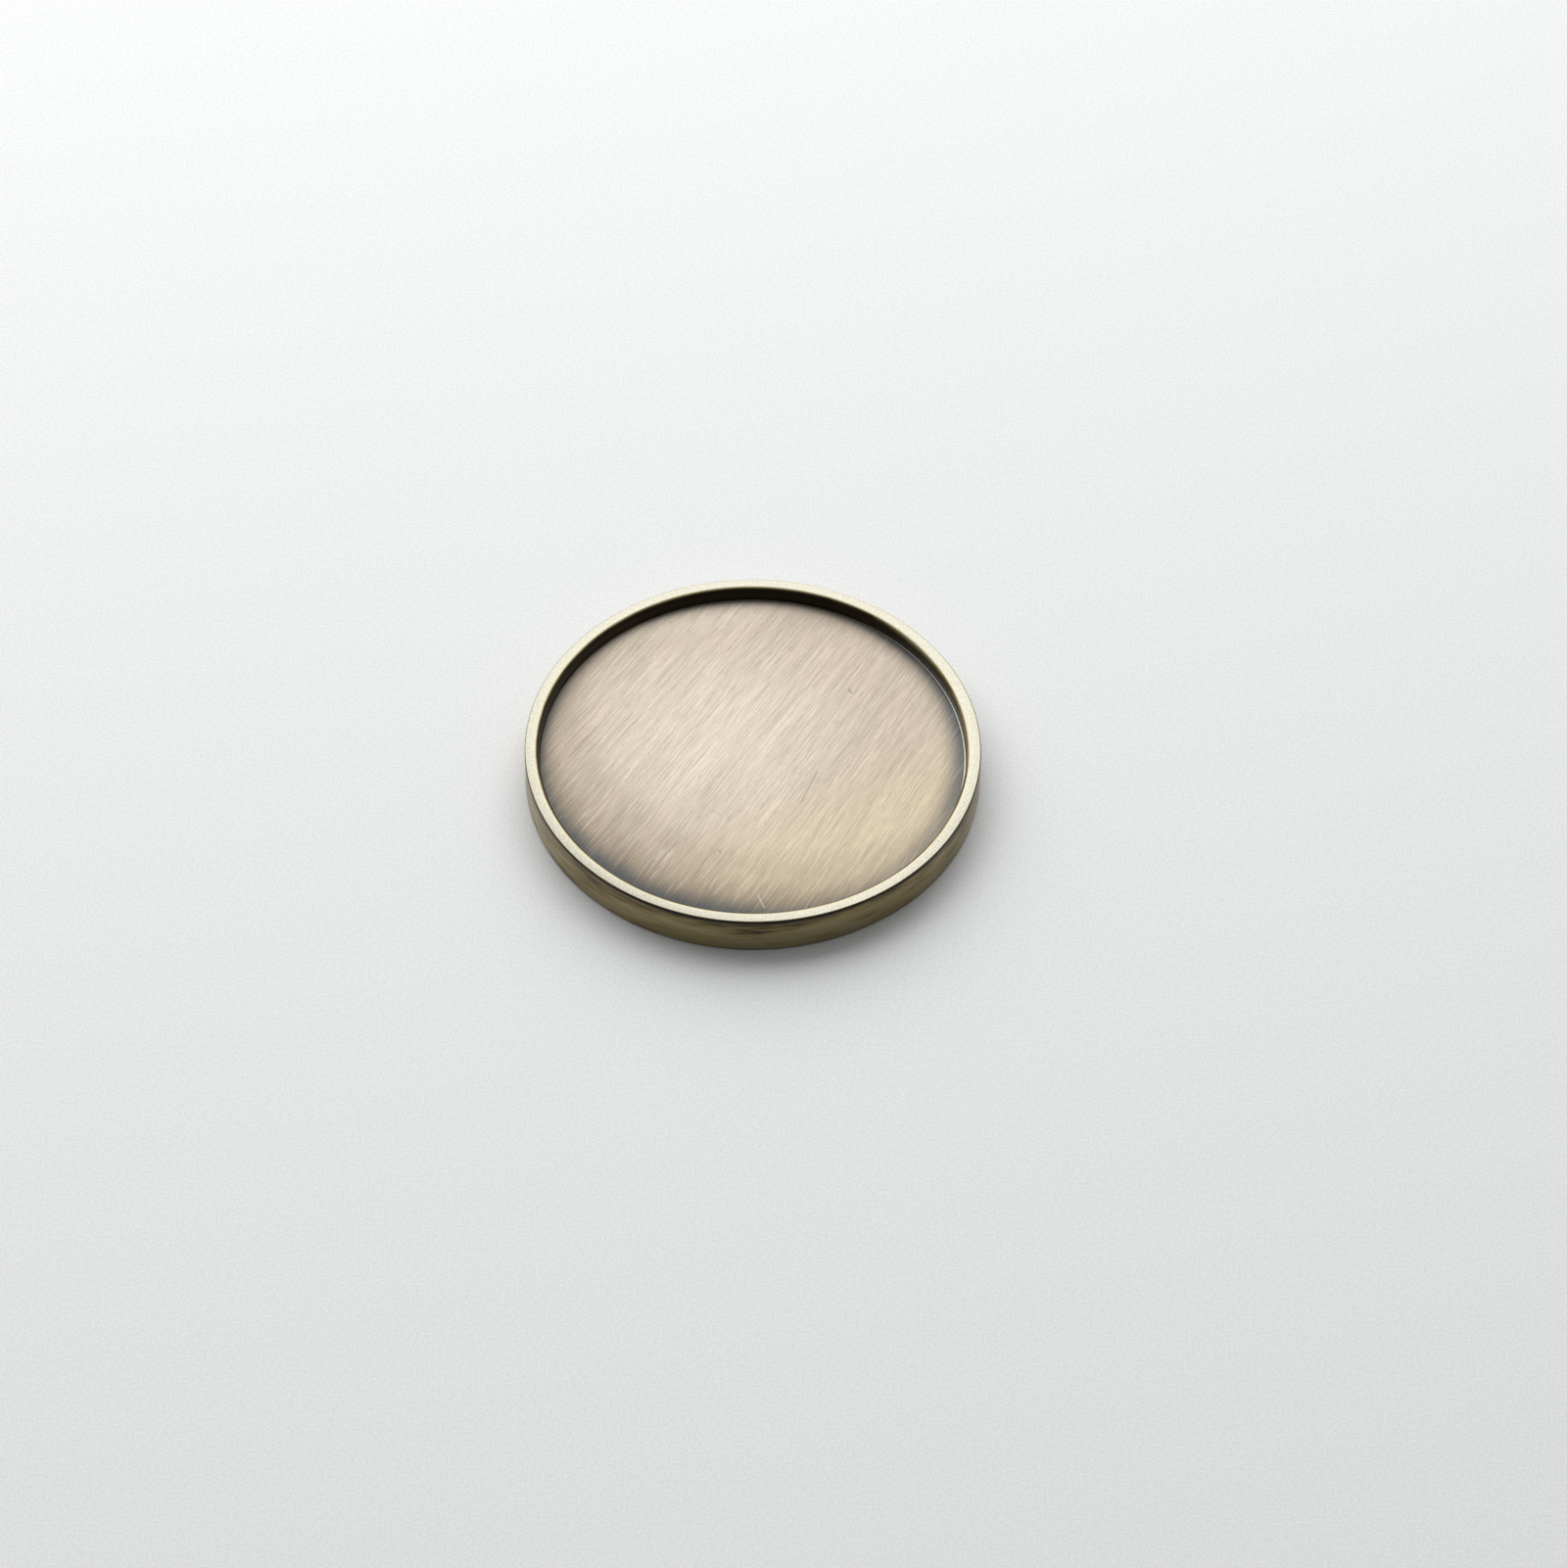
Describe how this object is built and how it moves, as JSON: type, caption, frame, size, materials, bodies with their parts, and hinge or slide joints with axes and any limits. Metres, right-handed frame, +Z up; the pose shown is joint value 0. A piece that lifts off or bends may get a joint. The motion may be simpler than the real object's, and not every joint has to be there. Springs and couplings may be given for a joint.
{
  "type": "golf ball marker",
  "caption": "Round coin-shaped golf ball marker: brass cup with a thin raised rim, a brushed face disc let into its recess and a magnet in the underside.",
  "frame": {"origin": "centre of the underside, on the surface that the marker lies on", "axes": "+Z up out of the face, along the axis of the coin; X and Y in the underside, with +X to the right and +Y away from the viewer when the marker is read from the front"},
  "size_m": [0.025, 0.025, 0.0023],
  "materials": {
    "antique_brass": "antique brass, darkened on the side and in the recess, rubbed bright on the rim",
    "brushed_face": "straight brushed antique brass, dark toward its edge",
    "adhesive_film": "thin double-sided film",
    "nickel_plate": "bright nickel plating",
    "epoxy": "clear amber epoxy"
  },
  "bodies": {
    "root": {"rim_cup": "antique_brass", "face_disc": "brushed_face", "face_film": "adhesive_film", "magnet": "nickel_plate", "magnet_glue": "epoxy"}
  },
  "joints": []
}
